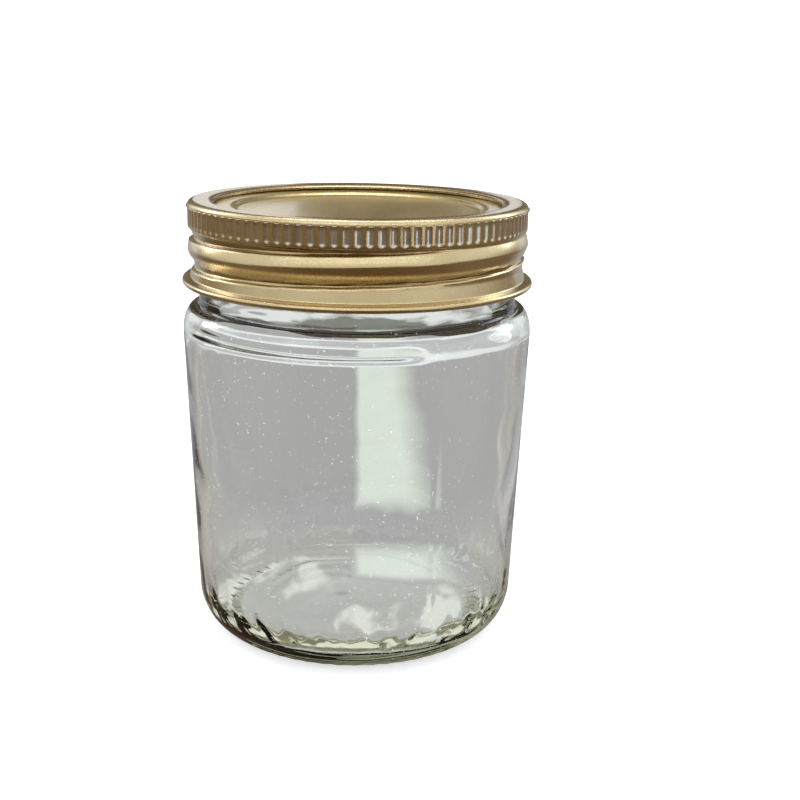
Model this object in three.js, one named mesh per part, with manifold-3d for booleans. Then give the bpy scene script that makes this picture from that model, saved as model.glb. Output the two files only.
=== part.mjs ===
// A small regular-mouth canning jar: a glass jar, a loose sealing disc and an open screw band.
// Millimetres, +Z up, origin at the centre of the ring that the jar stands on.
import * as THREE from 'three';
import { mergeVertices } from 'three/addons/utils/BufferGeometryUtils.js';
import Module from 'manifold-3d';

const wasm = await Module();
wasm.setup();

// ---- Driving dimensions ----

const GAP = 0.3;                      // clearance kept between neighbouring pieces
const TOTAL_HEIGHT = 95.9;            // table to the top of the screw band

// Screw band: one pressed sheet, with its outside measures
const SHEET = 0.45;
const BAND_RADIUS = 36.4;             // wall between the knurls
const KNURL_HEIGHT = 0.35;            // how far a knurl stands out of the wall
const KNURL_COUNT = 96;
const KNURL_LENGTH = 3.6;
const KNURL_WIDTH = 1.3;
const KNURL_TOP_DROP = 1.3;           // from the top of the band to the top of a knurl
const BAND_CORNER = 0.9;              // radius where the flange turns into the wall
const FLANGE_OPENING = 30.2;          // radius of the hole that shows the disc
const FLANGE_LIP = 0.95;              // how far the hole's edge is turned down
const SKIRT_RADIUS = 36.0;            // plain wall below the thread
const SKIRT_TOP = 84.5;
const SKIRT_BOTTOM = 80.5;
const ROLL_RADIUS = 0.85;             // rolled lower edge
const ROLL_CENTRE_RADIUS = 37.3;
const ROLL_CENTRE_HEIGHT = 78.95;

// Lid disc and its sealing ring
const DISC_RADIUS = 34.15;
const DISC_SHEET = 0.4;
const DISC_DROP = 1.3;                // from the top of the band to the disc's outer ring
const PANEL_DROP = 2.2;               // from the top of the band to the disc's middle
const PANEL_RADIUS = 26.3;
const PANEL_STEP_WIDTH = 1.1;
const RING_INNER = 30.6;
const RING_THICKNESS = 0.8;

// Glass jar
const BORE_RADIUS = 30.15;
const NECK_RADIUS = 34.6;
const THREAD_ROOT = 33.9;
const NECK_BOTTOM = 73.2;
const NECK_TOP = 78.5;
const SHOULDER_RADIUS = 38.15;
const SHOULDER_HEIGHT = 67.8;
const HEEL_RADIUS = 35.8;
const HEEL_HEIGHT = 9.3;
const FOOT_OUTER = 28.0;              // flat ring that the jar stands on
const FOOT_INNER = 24.5;
const PUSH_UP = 3.4;                  // height of the hollow under the base
const WALL = 2.85;
const FLOOR_HEIGHT = 5.8;
const FLOOR_RISE = 2.0;
const FLOOR_RADIUS = 26.0;
const RIM_CORNER = 1.25;

// Right-hand thread: one helix shared by the glass ridge and the band's groove
const PITCH = 6.35;
const GROOVE_HEIGHT = 85.0;           // height of the groove's middle on the +X side
const RIDGE_LIFT = 2.2;               // the glass ridge runs this far above the groove
const RIDGE_SECTION = 1.3;
const RIDGE_CENTRE = 33.4;
const RIDGE_START = -220;             // degrees about +Z from +X
const RIDGE_END = 190;
const GROOVE_SECTION = 1.5;
const GROOVE_START = -215;
const GROOVE_END = 285;
const THREAD_FADE = 25;               // degrees over which each end of the thread dies away
const FADE_DEPTH = 1.6;

// Fineness of the round surfaces
const JAR_SEGMENTS = 56;
const BAND_SEGMENTS = 48;
const THREAD_STEP = 12;               // degrees between two sections of the thread

// ---- Shared shape functions ----

// Points of an elliptical arc in the (radius, height) plane, angles in degrees.
function arc(centreR, centreZ, radiusR, radiusZ, from, to, steps) {
  const points = [];
  for (let i = 0; i <= steps; i++) {
    const angle = THREE.MathUtils.degToRad(from + (to - from) * i / steps);
    points.push([centreR + radiusR * Math.cos(angle), centreZ + radiusZ * Math.sin(angle)]);
  }
  return points;
}

// A smooth hump on the axis, from the middle outwards, height above base at the middle.
function hump(outerR, baseZ, height, steps) {
  const points = [];
  for (let i = 0; i <= steps; i++) {
    const part = i / steps;
    points.push([outerR * part, baseZ + height * (1 + Math.cos(Math.PI * part)) / 2]);
  }
  return points;
}

// Turns a profile of [radius, height] points about +Z.
function turned(profile, segments) {
  const points = profile.map(([r, z]) => new THREE.Vector2(r, z));
  const geometry = new THREE.LatheGeometry(points, segments);
  geometry.rotateX(Math.PI / 2);
  return geometry;
}

// The same for a ring, whose profile closes on itself.
function turnedRing(profile, segments) {
  return turned([...profile, profile[0]], segments);
}

// Turns a three.js geometry into a solid that can be joined and cut.
function solid(geometry) {
  const bare = geometry.index ? geometry.toNonIndexed() : geometry.clone();
  bare.deleteAttribute('normal');
  bare.deleteAttribute('uv');
  const merged = mergeVertices(bare, 1e-4);
  const index = merged.index.array;
  const triangles = [];
  for (let i = 0; i < index.length; i += 3) {
    const [a, b, c] = index.slice(i, i + 3);
    if (a !== b && b !== c && c !== a) triangles.push(a, b, c);
  }
  return new wasm.Manifold(new wasm.Mesh({
    numProp: 3,
    vertProperties: Float32Array.from(merged.attributes.position.array),
    triVerts: Uint32Array.from(triangles),
  }));
}

function geometryOf(manifold) {
  const mesh = manifold.getMesh();
  const geometry = new THREE.BufferGeometry();
  geometry.setAttribute('position', new THREE.BufferAttribute(mesh.vertProperties, 3));
  geometry.setIndex(new THREE.BufferAttribute(mesh.triVerts, 1));
  geometry.computeVertexNormals();
  return geometry;
}

// The thread's path. Its ends move sideways by fade, so that the thread dies away in the wall.
class Helix extends THREE.Curve {
  constructor(radius, lift, start, end, fade) {
    super();
    Object.assign(this, { radius, lift, start, end, fade });
  }

  getPoint(t, target = new THREE.Vector3()) {
    const degrees = this.start + (this.end - this.start) * t;
    const fromEnd = Math.min(degrees - this.start, this.end - degrees);
    const faded = 1 - THREE.MathUtils.smoothstep(fromEnd, 0, THREAD_FADE);
    const radius = this.radius + this.fade * faded;
    const angle = THREE.MathUtils.degToRad(degrees);
    const height = GROOVE_HEIGHT + this.lift + PITCH * degrees / 360;
    return target.set(radius * Math.cos(angle), radius * Math.sin(angle), height);
  }
}

function threadSweep(helix, section) {
  const outline = new THREE.Shape();
  outline.absarc(0, 0, section, 0, 2 * Math.PI);
  return new THREE.ExtrudeGeometry(outline, {
    steps: Math.round((helix.end - helix.start) / THREAD_STEP),
    curveSegments: 4,
    bevelEnabled: false,
    extrudePath: helix,
  });
}

// ---- Glass jar ----

const discTop = TOTAL_HEIGHT - DISC_DROP;
const ringTop = discTop - DISC_SHEET - GAP;
const ringBottom = ringTop - RING_THICKNESS;
const rimTop = ringBottom - GAP;

function jarOutside() {
  const fillet = NECK_RADIUS + 0.7;
  return [
    ...hump(FOOT_INNER, 0, PUSH_UP, 4),
    ...arc(FOOT_OUTER, HEEL_HEIGHT, HEEL_RADIUS - FOOT_OUTER, HEEL_HEIGHT, -90, 0, 5),
    ...arc(fillet, SHOULDER_HEIGHT, SHOULDER_RADIUS - fillet, NECK_BOTTOM - SHOULDER_HEIGHT, 0, 90, 4),
    [NECK_RADIUS, NECK_BOTTOM + 0.8],
    [NECK_RADIUS, NECK_TOP],
    [THREAD_ROOT, NECK_TOP + 1.5],
    ...arc(THREAD_ROOT - RIM_CORNER, rimTop - RIM_CORNER, RIM_CORNER, RIM_CORNER, 0, 90, 2),
  ];
}

function jarInside() {
  const shoulderInside = SHOULDER_RADIUS - WALL;
  const heelInside = HEEL_RADIUS - WALL;
  const shoulderBottom = SHOULDER_HEIGHT - 3.8;
  const heelTop = FLOOR_HEIGHT + 6.2;
  return [
    ...arc(BORE_RADIUS + RIM_CORNER, rimTop - RIM_CORNER, RIM_CORNER, RIM_CORNER, 90, 180, 2),
    ...arc(BORE_RADIUS, shoulderBottom, shoulderInside - BORE_RADIUS, 8.5, 90, 0, 4),
    ...arc(FLOOR_RADIUS, heelTop, heelInside - FLOOR_RADIUS, 6.2, 0, -90, 4),
    ...hump(FLOOR_RADIUS, FLOOR_HEIGHT, FLOOR_RISE, 3).reverse().slice(1),
  ];
}

function makeJar() {
  const body = solid(turned([...jarOutside(), ...jarInside()], JAR_SEGMENTS));
  const path = new Helix(RIDGE_CENTRE, RIDGE_LIFT, RIDGE_START, RIDGE_END, -FADE_DEPTH);
  const ridge = solid(threadSweep(path, RIDGE_SECTION));
  return geometryOf(body.add(ridge));
}

// ---- Screw band ----

const flangeUnder = TOTAL_HEIGHT - SHEET;

function rollArc(from, to, steps) {
  return arc(ROLL_CENTRE_RADIUS, ROLL_CENTRE_HEIGHT, ROLL_RADIUS, ROLL_RADIUS, from, to, steps);
}

// Outside of the band, from the bottom of the roll up to the middle of the flange.
function bandOutside() {
  return [
    ...rollArc(-90, 135, 6),
    [SKIRT_RADIUS, SKIRT_BOTTOM],
    [SKIRT_RADIUS, SKIRT_TOP],
    [BAND_RADIUS, SKIRT_TOP + 2],
    ...arc(BAND_RADIUS - BAND_CORNER, TOTAL_HEIGHT - BAND_CORNER, BAND_CORNER, BAND_CORNER, 0, 90, 3),
  ];
}

function bandProfile() {
  const lipRadius = FLANGE_LIP - SHEET / 2;
  const lipCentre = FLANGE_OPENING + lipRadius;
  const inner = BAND_RADIUS - SHEET;
  return [
    ...bandOutside(),
    ...arc(lipCentre, TOTAL_HEIGHT - lipRadius, lipRadius, lipRadius, 90, 180, 3),
    [FLANGE_OPENING, TOTAL_HEIGHT - FLANGE_LIP],
    [FLANGE_OPENING + SHEET, TOTAL_HEIGHT - FLANGE_LIP],
    [lipCentre + SHEET / 2, flangeUnder],
    [inner - BAND_CORNER / 2, flangeUnder],
    [inner, flangeUnder - BAND_CORNER / 2],
    [inner, SKIRT_TOP + 2],
    [SKIRT_RADIUS - SHEET, SKIRT_TOP],
    [SKIRT_RADIUS - SHEET, SKIRT_BOTTOM],
    ...rollArc(180, 210, 1),
  ];
}

// Everything inside the band's outer surface, to trim the thread that is pressed inwards.
function bandEnvelope() {
  const outside = bandOutside();
  return solid(turned([[0, outside[0][1]], ...outside, [0, TOTAL_HEIGHT]], BAND_SEGMENTS));
}

function knurl(index) {
  const outline = new THREE.Shape();
  outline.moveTo(-SHEET / 2, -KNURL_WIDTH / 2);
  outline.lineTo(KNURL_HEIGHT, -KNURL_WIDTH / 4);
  outline.lineTo(KNURL_HEIGHT, KNURL_WIDTH / 4);
  outline.lineTo(-SHEET / 2, KNURL_WIDTH / 2);
  const geometry = new THREE.ExtrudeGeometry(outline, { depth: KNURL_LENGTH, bevelEnabled: false });
  geometry.translate(BAND_RADIUS, 0, TOTAL_HEIGHT - KNURL_TOP_DROP - KNURL_LENGTH);
  geometry.rotateZ(2 * Math.PI * index / KNURL_COUNT);
  return solid(geometry);
}

function makeBand() {
  const groovePath = new Helix(BAND_RADIUS, 0, GROOVE_START, GROOVE_END, FADE_DEPTH);
  const pressedIn = solid(threadSweep(groovePath, GROOVE_SECTION + SHEET)).intersect(bandEnvelope());
  const groove = solid(threadSweep(groovePath, GROOVE_SECTION));
  let band = solid(turnedRing(bandProfile(), BAND_SEGMENTS)).add(pressedIn).subtract(groove);
  for (let i = 0; i < KNURL_COUNT; i++) {
    band = band.add(knurl(i));
  }
  return geometryOf(band);
}

// ---- Lid disc and sealing ring ----

function makeDisc() {
  const panelTop = TOTAL_HEIGHT - PANEL_DROP;
  const under = discTop - DISC_SHEET;
  const stepOuter = PANEL_RADIUS + PANEL_STEP_WIDTH;
  return turned([
    [0, panelTop - DISC_SHEET],
    [PANEL_RADIUS + DISC_SHEET / 2, panelTop - DISC_SHEET],
    [stepOuter + DISC_SHEET / 2, under],
    [DISC_RADIUS - DISC_SHEET, under],
    [DISC_RADIUS - DISC_SHEET, ringBottom],
    [DISC_RADIUS, ringBottom],
    ...arc(DISC_RADIUS - DISC_SHEET, discTop - DISC_SHEET, DISC_SHEET, DISC_SHEET, 0, 90, 2),
    [stepOuter, discTop],
    [PANEL_RADIUS, panelTop],
    [0, panelTop],
  ], JAR_SEGMENTS);
}

function makeSealingRing() {
  const outer = DISC_RADIUS - DISC_SHEET - GAP;
  const chamfer = RING_THICKNESS / 4;
  return turnedRing([
    [RING_INNER + chamfer, ringBottom],
    [outer - chamfer, ringBottom],
    [outer, ringBottom + chamfer],
    [outer, ringTop],
    [RING_INNER, ringTop],
    [RING_INNER, ringBottom + chamfer],
  ], JAR_SEGMENTS);
}

// ---- Materials ----

const clearGlass = new THREE.MeshStandardMaterial({
  color: 0xdce5df,
  roughness: 0.04,
  metalness: 0,
  transparent: true,
  opacity: 0.35,
});
const bandLacquer = new THREE.MeshStandardMaterial({ color: 0xb08a52, roughness: 0.35, metalness: 0.9 });
const discLacquer = new THREE.MeshStandardMaterial({ color: 0xb49468, roughness: 0.45, metalness: 0.85 });
const sealCompound = new THREE.MeshStandardMaterial({ color: 0x8c8880, roughness: 0.6, metalness: 0 });

// ---- The jar ----

function piece(name, geometry, material) {
  const mesh = new THREE.Mesh(geometry, material);
  mesh.name = name;
  return mesh;
}

const masonJar = new THREE.Group();
masonJar.add(piece('glass_jar', makeJar(), clearGlass));
masonJar.add(piece('screw_band', makeBand(), bandLacquer));
masonJar.add(piece('lid_disc', makeDisc(), discLacquer));
masonJar.add(piece('sealing_ring', makeSealingRing(), sealCompound));

export default masonJar;
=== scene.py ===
import math

import bpy
import numpy as np
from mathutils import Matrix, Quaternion, Vector


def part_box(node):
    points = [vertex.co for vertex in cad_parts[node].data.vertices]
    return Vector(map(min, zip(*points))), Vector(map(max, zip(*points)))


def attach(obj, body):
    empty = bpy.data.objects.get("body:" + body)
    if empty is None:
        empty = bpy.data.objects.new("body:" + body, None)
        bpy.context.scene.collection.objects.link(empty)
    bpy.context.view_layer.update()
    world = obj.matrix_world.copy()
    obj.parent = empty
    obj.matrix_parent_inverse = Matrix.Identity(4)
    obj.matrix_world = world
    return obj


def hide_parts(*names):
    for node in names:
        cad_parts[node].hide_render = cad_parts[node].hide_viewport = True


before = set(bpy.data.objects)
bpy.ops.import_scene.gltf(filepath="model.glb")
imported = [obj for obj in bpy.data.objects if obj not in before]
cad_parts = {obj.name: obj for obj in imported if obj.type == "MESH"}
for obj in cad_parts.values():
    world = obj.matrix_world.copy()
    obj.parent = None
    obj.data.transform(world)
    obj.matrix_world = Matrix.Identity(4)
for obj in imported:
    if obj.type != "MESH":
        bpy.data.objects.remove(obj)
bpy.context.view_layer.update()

MM = 0.001

# ---- Sizes in millimetres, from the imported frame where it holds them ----


def node_box(node):
    """A CAD node's lowest and highest corners in millimetres."""
    low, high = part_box(node)
    return low / MM, high / MM


jar_low, jar_high = node_box("glass_jar")
band_low, band_high = node_box("screw_band")
disc_low, disc_high = node_box("lid_disc")
seal_low, seal_high = node_box("sealing_ring")

TOP = band_high.z                      # top of the screw band
RIM = jar_high.z                       # top of the glass
SHOULDER_RADIUS = jar_high.x
ROLL_OUTER = band_high.x

# Thread shared by the glass and the band: right-handed
PITCH = 6.35
GROOVE_HEIGHT = 84.55                  # of the band's groove on the +X side
RIDGE_LIFT = 2.2                       # glass ridge above the groove
THREAD_ROOT = 33.9
RIDGE_DEPTH = 0.8
RIDGE_HALF_WIDTH = 1.45
RIDGE_RANGE = (-220, 190)              # degrees about +Z from +X
RIDGE_FADE = (25, 25)                  # degrees over which each end dies away
GROOVE_RANGE = (-210, 315)
GROOVE_FADE = (70, 45)

# Screw band
SHEET = 0.3
BAND_RADIUS = 36.7
BEAD_RADIUS = 36.95
BEAD_ROUNDING = 0.8
SKIRT_RADIUS = 35.75                   # just below the thread
SKIRT_FOOT = 36.4                      # just above the roll
SKIRT_BOTTOM = 79.75
ROLL_RADIUS = 0.68
ROLL_HEIGHT = band_low.z + ROLL_RADIUS
GROOVE_DEPTH = 1.1
GROOVE_FLANK = 2.7                     # slope above the groove's deepest line, at the sides
FLANK_GAIN = 1.15                      # how much longer it is at the front
GROOVE_LEDGE = 0.40                    # short ledge below the deepest line
KNURLS = 100
KNURL_DEPTH = 0.28
KNURL_TOP = TOP - 1.3
KNURL_BOTTOM = TOP - 5.4
KNURL_HALF_WIDTH = 0.64
CORNER_WIDTH = 1.4                     # rounding between wall and flange
CORNER_DROP = 1.0
FLANGE_OPENING = 30.2
LIP_DROP = TOP - disc_high.z - 0.05    # the lip rests on the disc

# Glass
BORE = 30.15
NECK_RADIUS = 34.6
NECK_BOTTOM = 73.2
SHOULDER_HEIGHT = 67.8
HEEL_RADIUS = 35.8
HEEL_HEIGHT = 9.3
FOOT_OUTER = 28.0
FOOT_INNER = 24.5
PUSH_UP = 1.3
WALL = 2.85
FLOOR_HEIGHT = 3.9
FLOOR_RISE = 0.9
FLOOR_RADIUS = 26.0
RIM_CORNER = 1.25
SEAM_ANGLE = -64                       # degrees; its twin is half a turn away
FOOT_RIBS = 58


# ---- Shape functions ----


def smooth(low, high, x):
    """0 below low, 1 above high, and a smooth rise between them."""
    t = np.clip((x - low) / (high - low), 0, 1)
    return t * t * (3 - 2 * t)


def arc(centre, radii, start, end, steps):
    """Points of an elliptical arc in the (radius, height) plane, angles in degrees."""
    angles = np.radians(np.linspace(start, end, steps + 1))
    return np.stack([centre[0] + radii[0] * np.cos(angles),
                     centre[1] + radii[1] * np.sin(angles)], axis=1)


def line(start, end, steps):
    return np.linspace(start, end, steps + 1)


def curve(start, control, end, steps):
    """A quadratic curve in the (radius, height) plane."""
    t = np.linspace(0, 1, steps + 1)[:, None]
    start, control, end = (np.array(p, float) for p in (start, control, end))
    return (1 - t) ** 2 * start + 2 * t * (1 - t) * control + t ** 2 * end


def hump(outer, base, height, steps):
    """A smooth hump on the axis, from the middle outwards."""
    part = np.linspace(0, 1, steps + 1)
    return np.stack([outer * part, base + height * (1 + np.cos(np.pi * part)) / 2], axis=1)


def joined(*stretches):
    """One profile from several, with doubled points dropped."""
    points = np.concatenate(stretches)
    apart = np.linalg.norm(np.diff(points, axis=0), axis=1) > 1e-4
    return points[np.concatenate([[True], apart])]


def thread_turns(degrees, height, lift, limits, fade):
    """For each turn of the thread: how far height is above its line, and how strong it is there."""
    for turn in (-1, 0, 1):
        along = degrees + 360 * turn
        above = height - (GROOVE_HEIGHT + lift + PITCH * along / 360)
        strength = smooth(limits[0], limits[0] + fade[0], along)
        strength = strength * (1 - smooth(limits[1] - fade[1], limits[1], along))
        yield above, strength


def ripple(angle, height, seed, counts=(1, 3, 4, 6, 7)):
    """Slow unevenness of about one unit, as in blown glass or pressed sheet. The counts are how
    many waves go round."""
    total = np.zeros_like(angle + height)
    for n, count in enumerate(counts, 1):
        total = total + np.sin(count * angle + height * 0.09 * n + seed * 1.7 * n) / n
        total = total + np.cos((count + 1) * angle - height * 0.15 * n + seed * 0.6 * n) / (n + 1)
    return total / 2.5


def mesh_object(name, points, faces, smooth_faces=True):
    mesh = bpy.data.meshes.new(name)
    mesh.from_pydata((points * MM).tolist(), [], faces)
    mesh.validate()
    if smooth_faces:
        mesh.polygons.foreach_set("use_smooth", [True] * len(mesh.polygons))
    mesh.update()
    made = bpy.data.objects.new(name, mesh)
    bpy.context.scene.collection.objects.link(made)
    return made


def turned(name, radius, height):
    """A closed mesh from rings of points: arrays of rings by segments, in millimetres.
    A ring of no radius becomes one point, and without such ends the last ring joins the first."""
    rings, segments = radius.shape
    angle = np.linspace(0, 2 * np.pi, segments, endpoint=False)
    points = []
    rows = []
    for i in range(rings):
        if radius[i].max() < 1e-6:
            rows.append(np.full(segments, len(points)))
            points.append((0, 0, height[i, 0]))
        else:
            rows.append(np.arange(len(points), len(points) + segments))
            points.extend(zip(radius[i] * np.cos(angle), radius[i] * np.sin(angle), height[i]))
    closed = min(radius[0].max(), radius[-1].max()) > 1e-6
    faces = []
    for i in range(rings if closed else rings - 1):
        here, above = rows[i], rows[(i + 1) % rings]
        for j in range(segments):
            k = (j + 1) % segments
            corners = [here[j], here[k], above[k], above[j]]
            faces.append([int(c) for n, c in enumerate(corners) if c != corners[n - 1]])
    return mesh_object(name, np.array(points, float), faces)


def spun(profile, segments):
    """Radius and height arrays, with the angles, for turning a profile."""
    angle = np.linspace(0, 2 * np.pi, segments, endpoint=False)[None, :]
    flat = np.ones((1, segments))
    return angle, profile[:, :1] * flat, profile[:, 1:] * flat


# ---- The glass jar ----


def jar_outside():
    fillet = NECK_RADIUS + 1.2
    return joined(
        hump(FOOT_INNER, 0, PUSH_UP, 16),
        line((FOOT_INNER, 0), (FOOT_OUTER, 0), 5),
        arc((FOOT_OUTER, HEEL_HEIGHT), (HEEL_RADIUS - FOOT_OUTER, HEEL_HEIGHT), -90, 0, 20),
        line((HEEL_RADIUS, HEEL_HEIGHT), (SHOULDER_RADIUS, SHOULDER_HEIGHT), 22),
        arc((fillet, SHOULDER_HEIGHT), (SHOULDER_RADIUS - fillet, NECK_BOTTOM - SHOULDER_HEIGHT), 0, 90, 14),
        curve((fillet, NECK_BOTTOM), (NECK_RADIUS, NECK_BOTTOM), (NECK_RADIUS, NECK_BOTTOM + 1.8), 8),
        line((NECK_RADIUS, NECK_BOTTOM + 1.8), (NECK_RADIUS, 78.0), 12),
        curve((NECK_RADIUS, 78.0), (NECK_RADIUS, 79.0), (THREAD_ROOT, 80.0), 4),
        line((THREAD_ROOT, 80.0), (THREAD_ROOT, RIM - RIM_CORNER), 34),
        arc((THREAD_ROOT - RIM_CORNER, RIM - RIM_CORNER), (RIM_CORNER, RIM_CORNER), 0, 90, 6),
    )


def jar_inside():
    shoulder = SHOULDER_RADIUS - WALL
    heel = HEEL_RADIUS - WALL
    low = SHOULDER_HEIGHT - 0.6
    top = FLOOR_HEIGHT + 6.2
    return joined(
        arc((BORE + RIM_CORNER, RIM - RIM_CORNER), (RIM_CORNER, RIM_CORNER), 90, 180, 6),
        line((BORE, RIM - RIM_CORNER), (BORE, 78.0), 8),
        line((BORE, 78.0), (BORE, low + 5.6), 16),
        arc((BORE, low), (shoulder - BORE, 5.6), 90, 0, 28),
        line((shoulder, low), (heel, top), 22),
        arc((FLOOR_RADIUS, top), (heel - FLOOR_RADIUS, 6.2), 0, -90, 14),
        hump(FLOOR_RADIUS, FLOOR_HEIGHT, FLOOR_RISE, 16)[::-1],
    )


def glass_thread(degrees, height):
    depth = 0
    for above, strength in thread_turns(degrees, height, RIDGE_LIFT, RIDGE_RANGE, RIDGE_FADE):
        near = np.clip(np.abs(above) / RIDGE_HALF_WIDTH, 0, 1)
        depth = depth + RIDGE_DEPTH * strength * (1 + np.cos(np.pi * near)) / 2
    return depth


def mould_seam(degrees):
    """The fine raised line where the halves of the mould met, on both sides."""
    line_height = 0
    for side in (SEAM_ANGLE, SEAM_ANGLE + 180):
        off = (degrees - side + 180) % 360 - 180
        line_height = line_height + 0.08 * np.exp(-(off / 0.7) ** 2)
    return line_height


def inside_fold(degrees):
    """Where the glass has a soft fold inside the shoulder: part of the way round, up to the seam."""
    along = (degrees + 180) % 360 - 180
    return smooth(-172, -150, along) * (1 - smooth(SEAM_ANGLE - 12, SEAM_ANGLE - 2, along))


def foot_ribs(angle, radius, height):
    """Short ribs moulded across the ring that the jar stands on."""
    across = np.exp(-((radius - 29.6) / 1.8) ** 2) * (1 - smooth(1.2, 3.2, height))
    return 0.28 * across * (1 + np.cos(FOOT_RIBS * angle)) / 2


def glass_jar():
    outside = jar_outside()
    inside = jar_inside()
    segments = 380
    angle, radius, height = spun(joined(outside, inside), segments)
    degrees = np.degrees(angle) * np.ones_like(radius)
    outer = (np.arange(len(radius)) < len(outside))[:, None]
    on_wall = smooth(4, 14, height) * (1 - smooth(RIM - 4, RIM - 1, height))
    side = smooth(20, 30, radius)

    bump = glass_thread(degrees, height) * (radius > THREAD_ROOT - 0.1)
    seam = mould_seam(degrees) * on_wall * (1 - smooth(78.5, 80, height))
    uneven = 0.035 * ripple(angle, height, 1.0) * on_wall
    inner_uneven = 0.16 * ripple(angle, height, 4.0) * on_wall * (1 - smooth(62, 72, height))
    neck = smooth(70, 74, height) * (1 - smooth(78, 80, height))
    neck_uneven = 0.05 * neck * ripple(angle, 5 * height, 2.0, (3, 5, 8, 11))
    fold = 0.55 * np.exp(-((height - 69.0) / 0.8) ** 2) * inside_fold(degrees)
    above_floor = height - FLOOR_HEIGHT
    heel = smooth(0.4, 2.2, above_floor) * (1 - smooth(4.2, 9.2, above_floor))
    heel_uneven = 0.34 * heel * ripple(angle, 4 * height, 6.0, (29, 38, 47, 61))
    moved = np.where(outer, bump + seam - np.abs(uneven) - np.abs(neck_uneven),
                     inner_uneven + neck_uneven + heel_uneven - fold) * side

    ribs = foot_ribs(angle, radius, height)
    swirl = 0.22 * ripple(angle, 2 * radius, 7.0) * smooth(1, 8, radius) * (1 - side)
    swirl = swirl + 0.50 * np.exp(-((radius - 23.0) / 0.9) ** 2)
    lifted = np.where(outer, ribs, swirl)
    jar = turned("jar_glass", radius + moved, height + lifted)
    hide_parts("glass_jar")
    jar.data.materials.append(glass_material())
    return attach(jar, "jar")


# ---- The screw band ----


def band_outside():
    """The sheet's outer face, from the end of the roll up and over to the lip of the opening."""
    roll = arc((ROLL_OUTER - ROLL_RADIUS, ROLL_HEIGHT), (ROLL_RADIUS, ROLL_RADIUS), 200, 445, 11)
    corner = (BAND_RADIUS - CORNER_WIDTH, TOP - CORNER_DROP)
    flange_edge = (FLANGE_OPENING + 2.6, TOP - 0.04)
    lip_middle = (FLANGE_OPENING + 1.1, TOP - 0.6 * LIP_DROP)
    return joined(
        roll,
        line(roll[-1], (SKIRT_FOOT + 0.08, SKIRT_BOTTOM - 0.03), 2),
        line((SKIRT_FOOT, SKIRT_BOTTOM), (SKIRT_FOOT, KNURL_BOTTOM - 0.3), 44),
        line((BAND_RADIUS, KNURL_BOTTOM - 0.2), (BAND_RADIUS, TOP - CORNER_DROP), 13),
        arc(corner, (CORNER_WIDTH, CORNER_DROP), 0, 90, 5),
        line((corner[0], TOP), flange_edge, 2),
        curve(flange_edge, (lip_middle[0] + 0.6, flange_edge[1] - 0.03), lip_middle, 4),
        curve(lip_middle, (lip_middle[0] - 0.7, TOP - LIP_DROP), (FLANGE_OPENING, TOP - LIP_DROP), 4),
    )


def band_wall(height):
    """The wall's radius before the thread is pressed in: a skirt that flares a little downwards,
    the bead above it, and the knurled part at the top."""
    above_skirt = smooth(82.3, 86.0, height)
    skirt = SKIRT_FOOT + (SKIRT_RADIUS - SKIRT_FOOT) * np.clip((height - SKIRT_BOTTOM) / 3.1, 0, 1)
    bead = skirt + (BEAD_RADIUS - skirt) * above_skirt
    return bead + (BAND_RADIUS - bead) * smooth(KNURL_BOTTOM - 0.8, KNURL_BOTTOM, height)


def band_groove(degrees, height):
    """How deep the thread is pressed in: a long slope down to a short ledge, and between one turn
    and the next a bead that rounds inwards towards its top."""
    flank = GROOVE_FLANK + FLANK_GAIN * np.maximum(np.cos(np.radians(degrees + 90)), 0)
    depth = 0
    for above, strength in thread_turns(degrees, height, 0, GROOVE_RANGE, GROOVE_FADE):
        slope = 1 - np.clip(above / flank, 0, 1)
        ledge = np.clip(1 + above / GROOVE_LEDGE, 0, 1)
        bead = np.clip((above - flank) / (PITCH - GROOVE_LEDGE - flank), 0, 1)
        bead = (bead + bead ** 2) / 2
        depth = depth + strength * (GROOVE_DEPTH * np.where(above > 0, slope, ledge) + BEAD_ROUNDING * bead)
    window = 1 - smooth(KNURL_BOTTOM - 0.75, KNURL_BOTTOM - 0.05, height)
    return depth * window * smooth(SKIRT_BOTTOM, SKIRT_BOTTOM + 0.8, height)


def knurls(angle, height):
    """Upright flutes with round ends, pressed in all the way round."""
    spacing = 2 * np.pi * BAND_RADIUS / KNURLS
    phase = angle * KNURLS / (2 * np.pi)
    across = np.abs(phase - np.round(phase)) * spacing
    middle = (KNURL_TOP + KNURL_BOTTOM) / 2
    straight = (KNURL_TOP - KNURL_BOTTOM) / 2 - KNURL_HALF_WIDTH
    along = np.maximum(np.abs(height - middle) - straight, 0)
    outline = np.hypot(across, along) - KNURL_HALF_WIDTH
    return KNURL_DEPTH * (1 - smooth(-0.45, 0.12, outline))


def screw_band():
    segments = KNURLS * 8
    angle, radius, height = spun(band_outside(), segments)
    degrees = np.degrees(angle) * np.ones_like(radius)
    wall = (height > SKIRT_BOTTOM - 0.001) & (height < TOP - CORNER_DROP + 0.001)
    radius = np.where(wall, band_wall(height) - band_groove(degrees, height), radius)
    radius = radius - np.where(wall, knurls(angle, height), 0)
    flange = (height > TOP - 0.3) & (radius < BAND_RADIUS - CORNER_WIDTH)
    height = height - np.where(flange, 0.03 * (1 + ripple(angle, radius, 3.0)), 0)

    along_r = np.gradient(radius, axis=0)
    along_z = np.gradient(height, axis=0)
    length = np.hypot(along_r, along_z)
    inner_radius = (radius - SHEET * along_z / length)[::-3]
    inner_height = (height + SHEET * along_r / length)[::-3]
    over_disc = (inner_height > TOP - 2) & (inner_radius < disc_high.x)
    inner_height = np.where(over_disc, np.maximum(inner_height, disc_high.z + 0.03), inner_height)
    band = turned("band", np.concatenate([radius, inner_radius]), np.concatenate([height, inner_height]))
    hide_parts("screw_band")
    band.data.materials.append(band_material())
    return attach(band, "band")


# ---- Lid disc and sealing ring ----


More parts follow.
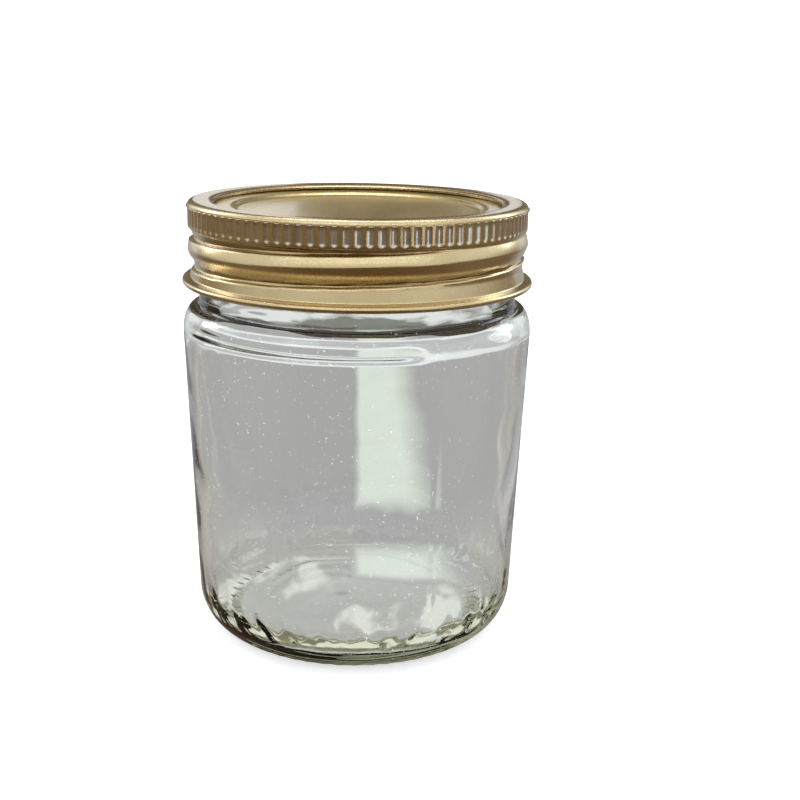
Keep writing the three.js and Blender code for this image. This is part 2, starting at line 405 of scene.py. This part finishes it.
def disc_profile():
    low, high = disc_low.z, disc_high.z
    edge = disc_high.x
    panel = high - 0.9
    skin = 0.24
    top = joined(
        line((0, panel), (25.2, panel), 24),
        curve((25.2, panel), (26.3, panel), (26.8, panel + 0.45), 5),
        curve((26.8, panel + 0.45), (27.3, high), (28.3, high), 5),
        line((28.3, high), (33.2, high - 0.05), 6),
        arc((edge - 0.7, high - 0.7), (0.7, 0.7), 90, 0, 5),
        line((edge, high - 0.7), (edge, low), 3),
    )
    under = joined(
        line((edge - skin, low), (edge - skin, high - 0.7), 3),
        arc((edge - 0.7, high - 0.7), (0.7 - skin, 0.7 - skin), 0, 90, 4),
        line((33.2, high - skin), (28.3, high - skin), 4),
        curve((28.3, high - skin), (27.4, high - skin), (27.0, panel + 0.3), 5),
        curve((27.0, panel + 0.3), (26.4, panel - skin), (25.2, panel - skin), 5),
        line((25.2, panel - skin), (0, panel - skin), 24),
    )
    return joined(top, under)[::-1]


def lid_disc():
    angle, radius, height = spun(disc_profile(), 288)
    inside = 1 - smooth(24, 27, radius)
    height = height + 0.05 * ripple(angle, radius, 5.0) * inside
    disc = turned("disc", radius, height)
    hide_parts("lid_disc")
    disc.data.materials.append(disc_material())
    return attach(disc, "lid")


def sealing_ring():
    low, high = seal_low.z, seal_high.z
    outer = seal_high.x
    inner = 30.6
    profile = joined(
        arc((inner + 0.35, low + 0.35), (0.35, 0.35), 180, 270, 4),
        curve((inner + 0.35, low), ((inner + outer) / 2, low + 0.3), (outer - 0.35, low), 8),
        arc((outer - 0.35, low + 0.35), (0.35, 0.35), -90, 0, 4),
        line((outer, low + 0.35), (outer, high), 2),
        line((outer, high), (inner, high), 4),
    )
    angle, radius, height = spun(profile, 256)
    ring = turned("seal", radius, height)
    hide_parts("sealing_ring")
    ring.data.materials.append(seal_material())
    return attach(ring, "lid")


# ---- Materials ----


class Shader:
    """A material with one Principled shader and short calls for the nodes that feed it."""

    def __init__(self, name, **constants):
        self.material = bpy.data.materials.new(name)
        self.material.use_nodes = True
        self.nodes = self.material.node_tree.nodes
        self.links = self.material.node_tree.links
        self.main = self.nodes["Principled BSDF"]
        self.output = self.nodes["Material Output"]
        for socket, value in constants.items():
            self.main.inputs[socket.replace("_", " ")].default_value = value
        self.place = self.add("ShaderNodeTexCoord").outputs["Object"]

    def add(self, kind, **settings):
        node = self.nodes.new(kind)
        for key, value in settings.items():
            setattr(node, key, value)
        return node

    def feed(self, node, socket, value):
        if hasattr(value, "is_linked"):
            self.links.new(value, node.inputs[socket])
        else:
            node.inputs[socket].default_value = value

    def math(self, operation, a, b=0.0, clamp=False):
        node = self.add("ShaderNodeMath", operation=operation, use_clamp=clamp)
        self.feed(node, 0, a)
        self.feed(node, 1, b)
        return node.outputs[0]

    def scaled(self, factors):
        node = self.add("ShaderNodeVectorMath", operation="MULTIPLY")
        self.feed(node, 0, self.place)
        self.feed(node, 1, factors)
        return node.outputs[0]

    def noise(self, scale, detail=4.0, roughness=0.5, stretch=(1, 1, 1)):
        node = self.add("ShaderNodeTexNoise")
        self.feed(node, "Vector", self.scaled(stretch))
        self.feed(node, "Scale", scale)
        self.feed(node, "Detail", detail)
        self.feed(node, "Roughness", roughness)
        return node.outputs["Fac"]

    def specks(self, scale, share, size, stretch=(1, 1, 1), warp=0.0):
        """Scattered spots: share of the cells hold one, of that size in cells, bent by warp metres."""
        place = self.scaled(stretch)
        if warp:
            bend = self.add("ShaderNodeTexNoise")
            self.feed(bend, "Vector", self.place)
            self.feed(bend, "Scale", 900)
            push = self.add("ShaderNodeVectorMath", operation="MULTIPLY_ADD")
            self.feed(push, 0, bend.outputs["Color"])
            self.feed(push, 1, (warp, warp, warp))
            self.feed(push, 2, place)
            place = push.outputs[0]
        cells = self.add("ShaderNodeTexVoronoi", feature="F1")
        self.feed(cells, "Vector", place)
        self.feed(cells, "Scale", scale)
        pick = self.add("ShaderNodeSeparateColor")
        self.links.new(cells.outputs["Color"], pick.inputs[0])
        chosen = self.math("LESS_THAN", pick.outputs[0], share)
        near = self.span(cells.outputs["Distance"], size, size * 0.5, 0.0, 1.0)
        return self.math("MULTIPLY", chosen, near)

    def span(self, value, low, high, to_low, to_high):
        node = self.add("ShaderNodeMapRange", interpolation_type="SMOOTHSTEP")
        for socket, number in enumerate((value, low, high, to_low, to_high)):
            self.feed(node, socket, number)
        return node.outputs[0]

    def mix(self, factor, a, b):
        node = self.add("ShaderNodeMix", data_type="RGBA")
        self.feed(node, 0, factor)
        self.feed(node, 6, a)
        self.feed(node, 7, b)
        return node.outputs[2]

    def bump(self, height, strength, distance, normal=None):
        node = self.add("ShaderNodeBump")
        self.feed(node, "Strength", strength)
        self.feed(node, "Distance", distance)
        self.feed(node, "Height", height)
        if normal is not None:
            self.links.new(normal, node.inputs["Normal"])
        return node.outputs[0]

    def along(self, axis):
        """The coordinate along X, Y or Z, in metres."""
        parts = self.add("ShaderNodeSeparateXYZ")
        self.links.new(self.place, parts.inputs[0])
        return parts.outputs[axis]

    def radius(self):
        """Distance from the jar's axis, in metres."""
        flat = self.add("ShaderNodeVectorMath", operation="LENGTH")
        self.links.new(self.scaled((1, 1, 0)), flat.inputs[0])
        return flat.outputs["Value"]

    def set(self, socket, value):
        self.feed(self.main, socket, value)


# The glass is painted with a dark line at this height: painted shade.
NECK_FOOT = 73.6                       # height of the dark crease at the foot of the neck


def glass_material():
    """Clear glass, dusty and smeared in places, olive where it is thick. The dust also glows a
    little, which is painted light. A thin dark line at the foot of the neck and dark blotches on
    the outside of the neck are painted shade."""
    glass = Shader("clear_glass", Base_Color=(1, 1, 1, 1), IOR=1.5, Roughness=0.0)
    smear = glass.noise(38, 3, 0.6, (1, 1, 0.35))
    glass.set("Roughness", glass.span(smear, 0.50, 0.78, 0.0, 0.07))
    strokes = glass.math("MAXIMUM", glass.specks(700, 0.8, 0.11, (1, 1, 0.4), 0.0012),
                         glass.specks(760, 0.7, 0.11, (0.5, 0.5, 1), 0.0012))
    dusty = glass.span(glass.noise(30, 2), 0.36, 0.56, 0.1, 1.0)
    dust = glass.math("MULTIPLY", strokes, dusty)
    glass.set("Transmission Weight", glass.math("SUBTRACT", 1.0, glass.math("MULTIPLY", dust, 0.6)))
    # Painted light: the dust strokes also glow faintly, though they are no lamp.
    glass.set("Emission Strength", glass.math("MULTIPLY", dust, 0.45))
    # Painted shade: a thin dark line round the outside at the foot of the neck, and dark blotches on the
    # outside of the neck above it.
    foot = glass.math("ABSOLUTE", glass.math("SUBTRACT", glass.along(2), NECK_FOOT * MM))
    width = glass.span(glass.noise(45, 2), 0.35, 0.65, 0.0001, 0.0009)
    outside = glass.span(glass.radius(), 0.0330, 0.0335, 0.0, 1.0)
    crease_shade = glass.math("MULTIPLY", glass.math("LESS_THAN", foot, width), outside)
    blotches = glass.span(glass.noise(48, 3, 0.5, (1, 1, 4)), 0.42, 0.50, 0.0, 0.95)
    neck = glass.math("MULTIPLY", glass.span(glass.along(2), 0.0738, 0.0746, 0.0, 1.0), blotches)
    neck = glass.math("MULTIPLY", neck, outside)
    neck_shade_colour = glass.mix(neck, (1, 1, 1, 1), (0.05, 0.05, 0.03, 1))
    glass.set("Base Color", glass.mix(crease_shade, neck_shade_colour, (0.03, 0.02, 0.01, 1)))
    waves = glass.noise(55, 1, 0.4)
    glass.set("Normal", glass.bump(waves, 0.35, 0.0012))
    depth = glass.add("ShaderNodeVolumeAbsorption")
    depth.inputs["Color"].default_value = (0.45, 0.48, 0.30, 1)
    depth.inputs["Density"].default_value = 40.0
    glass.links.new(depth.outputs[0], glass.output.inputs["Volume"])
    return glass.material


def lacquer(name, pale, deep, roughness, grain):
    """Gold lacquer on tinplate: cloudy colour and a fine grain."""
    gold = Shader(name, Metallic=1.0, Coat_Weight=0.6, Coat_Roughness=0.15, Coat_IOR=1.6)
    cloud = gold.noise(60, 5, 0.6)
    fine = gold.noise(900, 2, 0.6, grain)
    colour = gold.mix(gold.span(cloud, 0.3, 0.7, 0.0, 1.0), deep, pale)
    rough = gold.math("ADD", gold.math("MULTIPLY", fine, 0.14), roughness - 0.08)
    gold.set("Roughness", gold.math("ADD", rough, gold.math("MULTIPLY", cloud, 0.06)))
    orange_peel = gold.bump(gold.noise(420, 2), 0.03, 0.0004)
    gold.set("Normal", gold.bump(fine, 0.04, 0.0002, orange_peel))
    return gold, colour


def band_material():
    """Gold lacquer. The knurling's flutes are painted pale silver, a painted glint, full on the +X half and
    fading out towards -X; the deepest part of the pressed thread above the skirt is painted dark brown, a
    painted shade.
    """
    gold, colour = lacquer("band_lacquer", (0.68, 0.54, 0.30, 1), (0.58, 0.44, 0.22, 1), 0.25, (1, 1, 0.2))
    # Painted glint: the flutes are painted pale silver, full on the +X half and fading to nothing by 28 mm
    # towards -X.
    flute = gold.span(gold.radius(), MM * (BAND_RADIUS - 0.18), MM * (BAND_RADIUS - 0.06), 1.0, 0.0)
    knurled = gold.span(gold.along(2), MM * (KNURL_BOTTOM - 0.2), MM * KNURL_BOTTOM, 0.0, 0.85)
    below_top = gold.span(gold.along(2), MM * (KNURL_TOP - 0.3), MM * KNURL_TOP, 1.0, 0.0)
    glint_side = gold.span(gold.along(0), -0.028, 0.0, 0.0, 1.0)
    painted_glint = gold.math("MULTIPLY", gold.math("MULTIPLY", flute, knurled), below_top)
    painted_glint = gold.math("MULTIPLY", painted_glint, glint_side)
    # Painted shade: where the pressed thread is deepest, above the skirt, the colour turns dark brown.
    groove_shade = gold.span(gold.radius(), 0.0350, 0.0361, 0.75, 0.0)
    above_skirt = gold.span(gold.along(2), 0.0822, 0.0830, 0.0, 1.0)
    colour = gold.mix(gold.math("MULTIPLY", groove_shade, above_skirt), colour, (0.33, 0.22, 0.08, 1))
    colour = gold.mix(painted_glint, colour, (0.70, 0.72, 0.70, 1))
    dust = gold.specks(900, 0.06, 0.22)
    gold.set("Base Color", gold.mix(gold.math("MULTIPLY", dust, 0.5), colour, (0.85, 0.80, 0.66, 1)))
    return gold.material


def disc_material():
    gold, colour = lacquer("disc_lacquer", (0.67, 0.52, 0.21, 1), (0.54, 0.41, 0.15, 1), 0.30, (1, 0.06, 1))
    dust = gold.specks(1100, 0.30, 0.30)
    gold.set("Base Color", gold.mix(gold.math("MULTIPLY", dust, 0.9), colour, (0.92, 0.92, 0.86, 1)))
    return gold.material


def seal_material():
    seal = Shader("seal_compound", Roughness=0.55)
    tone = seal.noise(180, 4)
    seal.set("Base Color", seal.mix(tone, (0.20, 0.19, 0.17, 1), (0.30, 0.28, 0.26, 1)))
    seal.set("Normal", seal.bump(seal.noise(700, 3), 0.2, 0.0002))
    return seal.material


# ---- Studio ----

CAMERA_DISTANCE = 0.275
CAMERA_HEIGHT = 0.1262
CAMERA_DOWN = math.radians(15.31)
CAMERA_YAW = math.radians(2.03)
CAMERA_ROLL = math.radians(1.04)
LENS = 56.8


def camera():
    data = bpy.data.cameras.new("camera")
    data.lens = LENS
    data.sensor_width = 36
    data.clip_start = 0.01
    made = bpy.data.objects.new("camera", data)
    bpy.context.scene.collection.objects.link(made)
    forward = Vector((math.sin(CAMERA_YAW) * math.cos(CAMERA_DOWN),
                      math.cos(CAMERA_YAW) * math.cos(CAMERA_DOWN),
                      -math.sin(CAMERA_DOWN)))
    made.location = (0, -CAMERA_DISTANCE, CAMERA_HEIGHT)
    made.rotation_mode = "QUATERNION"
    made.rotation_quaternion = forward.to_track_quat("-Z", "Y") @ Quaternion((0, 0, 1), CAMERA_ROLL)
    bpy.context.scene.camera = made


def light_patches(room):
    """How strongly light thrown through the glass brightens each place: ragged blotches of noise,
    drawn out along Y, which die away from the jar."""
    blotches = room.span(room.noise(75, 3, 0.5, (1, 0.5, 0)), 0.54, 0.64, 0.0, 0.8)
    close = room.span(room.radius(), 0.026, 0.065, 1.0, 0.0)
    return room.math("MULTIPLY", blotches, close)


def heel_shade_and_highlight(room, under):
    """Painted shade and a painted highlight on the floor under the heel, for what its thick glass shows:
    dark olive with a broken bright ring in it.
    """
    in_front = room.span(room.along(1), -0.004, 0.010, 1.0, 0.0)
    inner = room.span(room.radius(), 0.0265, 0.0280, 0.0, 1.0)
    outer = room.span(room.radius(), 0.0400, 0.0480, 1.0, 0.0)
    shade = room.math("MULTIPLY", in_front, room.math("MULTIPLY", inner, outer))
    under = room.mix(shade, under, (0.27, 0.27, 0.18, 1))
    off_ring = room.math("ABSOLUTE", room.math("SUBTRACT", room.radius(), 0.0315))
    broken = room.span(room.noise(130, 2), 0.40, 0.50, 0.0, 1.0)
    bright = room.math("MULTIPLY", room.span(off_ring, 0.0011, 0.0022, 1.0, 0.0), broken)
    return room.mix(room.math("MULTIPLY", bright, in_front), under, (1.0, 1.0, 0.85, 1))


def floor_material():
    """The lens sees this floor white. Mirrored in the metal or the glass it is a room instead: a
    brown table in front and at the sides, grey behind, and a pale wall above. Seen through the
    glass the table is paler, grey near the jar and silvery far behind it, with painted shade and
    a painted bright ring under the heel and painted patches of light on it."""
    room = Shader("floor_paint")
    ray = room.add("ShaderNodeLightPath")
    through_glass = ray.outputs["Is Transmission Ray"]
    sideways = room.math("MULTIPLY", room.math("ABSOLUTE", room.along(0)), 0.9)
    behind = room.span(room.math("SUBTRACT", room.along(1), sideways), -0.04, 0.05, 0.0, 1.0)
    at_side = room.span(room.math("ADD", room.along(1), sideways), -0.05, 0.10, 0.0, 1.0)
    side = room.mix(through_glass, (0.22, 0.17, 0.12, 1), (0.62, 0.61, 0.60, 1))
    front = room.mix(through_glass, (0.16, 0.10, 0.06, 1), (0.44, 0.42, 0.38, 1))
    table = room.mix(at_side, front, side)
    table = room.mix(behind, table, (0.455, 0.455, 0.48, 1))
    near = room.mix(room.span(room.radius(), 0.042, 0.062, 1.0, 0.0), table, (0.49, 0.49, 0.49, 1))
    furthest = room.span(room.along(1), 0.38, 0.46, 0.0, 1.0)
    distant = room.mix(furthest, (0.96, 1.0, 1.03, 1), (0.57, 0.58, 0.60, 1))
    near = room.mix(room.span(room.along(1), 0.272, 0.290, 0.0, 1.0), near, distant)
    # Painted shade and a painted highlight ring under the heel.
    near = heel_shade_and_highlight(room, near)
    near = room.mix(light_patches(room), near, (1.0, 1.05, 1.0, 1))
    near = room.mix(through_glass, table, near)
    wall = room.math("MULTIPLY", room.span(room.along(2), 0.01, 0.10, 0.0, 1.0), behind)
    wall = room.math("MAXIMUM", room.span(room.along(2), 0.06, 0.33, 0.0, 1.0), wall)
    tone = room.mix(wall, near, (0.92, 0.97, 1.0, 1))
    unseen = room.add("ShaderNodeEmission")
    room.links.new(tone, unseen.inputs["Color"])
    paper = room.add("ShaderNodeBsdfDiffuse")
    paper.inputs["Color"].default_value = (0.85, 0.85, 0.85, 1)
    glow = room.add("ShaderNodeEmission")
    glow.inputs["Strength"].default_value = 0.5
    seen = room.add("ShaderNodeAddShader")
    room.links.new(paper.outputs[0], seen.inputs[0])
    room.links.new(glow.outputs[0], seen.inputs[1])
    choose = room.add("ShaderNodeMixShader")
    room.links.new(ray.outputs["Is Camera Ray"], choose.inputs[0])
    room.links.new(unseen.outputs[0], choose.inputs[1])
    room.links.new(seen.outputs[0], choose.inputs[2])
    room.links.new(choose.outputs[0], room.output.inputs["Surface"])
    return room.material


def floor():
    """A floor that curves up into a wall all round, far from the jar."""
    flat = 900
    curve = 500
    top = 1500
    profile = joined(
        line((0, 0), (flat, 0), 3),
        arc((flat, curve), (curve, curve), -90, 0, 12),
        line((flat + curve, curve), (flat + curve, top), 2),
    )
    angle, radius, height = spun(profile[::-1], 96)
    ground = turned("floor", radius, height - 0.02)
    ground.data.materials.append(floor_material())


def card(name, corner, edge_a, edge_b, near_tone, far_tone, dip=0.0, reach=0.001):
    """A flat, slightly cloudy studio card that the lens can't see directly. It is near_tone, and
    turns to far_tone over the second half of edge_a, at its first edges and within reach of y = dip."""
    corner, edge_a, edge_b = Vector(corner), Vector(edge_a), Vector(edge_b)
    points = [corner, corner + edge_a, corner + edge_a + edge_b, corner + edge_b]
    made = mesh_object(name, np.array(points) / MM, [[0, 1, 2, 3]], False)
    paint = Shader(name)
    along = paint.span(paint.along(0), corner.x + edge_a.x * 0.5, corner.x + edge_a.x, 0.0, 0.9)
    start = paint.math("MAXIMUM", paint.span(paint.along(0), corner.x, corner.x + 0.003, 0.8, 0.0),
                       paint.span(paint.along(1), corner.y, corner.y + 0.006, 0.8, 0.0))
    off_dip = paint.math("ABSOLUTE", paint.math("SUBTRACT", paint.along(1), dip))
    front = paint.math("MAXIMUM", start, paint.span(off_dip, reach * 0.3, reach, 1.0, 0.0))
    cloud = paint.math("MULTIPLY", paint.noise(60, 3), 0.25)
    glow = paint.add("ShaderNodeEmission")
    fade = paint.math("ADD", paint.math("MAXIMUM", along, front), cloud, True)
    paint.feed(glow, "Color", paint.mix(fade, (*near_tone, 1), (*far_tone, 1)))
    paint.links.new(glow.outputs[0], paint.output.inputs["Surface"])
    made.data.materials.append(paint.material)
    made.visible_camera = False
    made.visible_shadow = False
    made.visible_diffuse = False
    return made


def soft_light(name, place, aim, size, power, colour=(1, 1, 1)):
    data = bpy.data.lights.new(name, "AREA")
    data.shape = "ELLIPSE"
    data.size, data.size_y = size
    data.energy = power
    data.color = colour
    made = bpy.data.objects.new(name, data)
    bpy.context.scene.collection.objects.link(made)
    made.location = place
    made.rotation_euler = (Vector(aim) - Vector(place)).to_track_quat("-Z", "Y").to_euler()
    return made


def studio():
    floor()
    lid = (0, 0, 0.07)
    cool = (0.86, 0.95, 1.0)
    soft_light("window_low", (-0.05, -0.80, 0.60), lid, (2.2, 0.04), 0.6, cool)
    soft_light("window_high", (-0.05, -0.66, 0.80), lid, (2.2, 0.05), 0.9, cool)
    soft_light("left_back", (-0.75, 0.43, 0.50), lid, (0.3, 0.6), 1.4)
    soft_light("right_back", (0.75, 0.43, 0.50), lid, (0.3, 0.6), 1.4, cool)
    soft_light("ceiling", (0.0, 0.35, 1.2), lid, (1.2, 0.10), 3)
    grey = (0.455, 0.455, 0.48)
    card("back_strip", (-0.001, 0.008, 0.001), (0.032, 0, 0), (0, 0.28, 0),
         (0.92, 1.02, 0.94), grey, dip=0.050, reach=0.028)
    card("side_strip", (0.056, 0.02, 0.001), (0.050, 0, 0), (0.03, 0.13, 0),
         (0.70, 0.68, 0.68), grey, dip=0.02, reach=0.012)
    dark = (0.16, 0.13, 0.09)
    pale = (1.0, 1.0, 1.0)
    for name, place, width, tone in (("back_wall", (-0.60, 1.0, 0.0), 1.20, dark),
                                     ("left_window", (-0.19, 0.99, 0.05), 0.13, pale),
                                     ("right_window", (0.12, 0.99, 0.05), 0.05, pale)):
        wall = card(name, place, (width, 0, 0), (0, 0, 1.40 - place[2]), tone, tone)
        wall.visible_transmission = False
    bright = (1.5, 1.6, 1.7)
    card("low_window", (0.30, -0.50, 0.0), (0.25, 0.15, 0), (0, 0, 0.09), bright, bright)
    world = bpy.data.worlds.new("world")
    world.use_nodes = True
    world.node_tree.nodes["Background"].inputs["Color"].default_value = (1, 1, 1, 1)
    world.node_tree.nodes["Background"].inputs["Strength"].default_value = 1.0
    bpy.context.scene.world = world
    bpy.context.scene.view_settings.view_transform = "Standard"


camera()
studio()
glass_jar()
screw_band()
lid_disc()
sealing_ring()


def corners(box):
    return [[float(v) for v in corner] for corner in box]
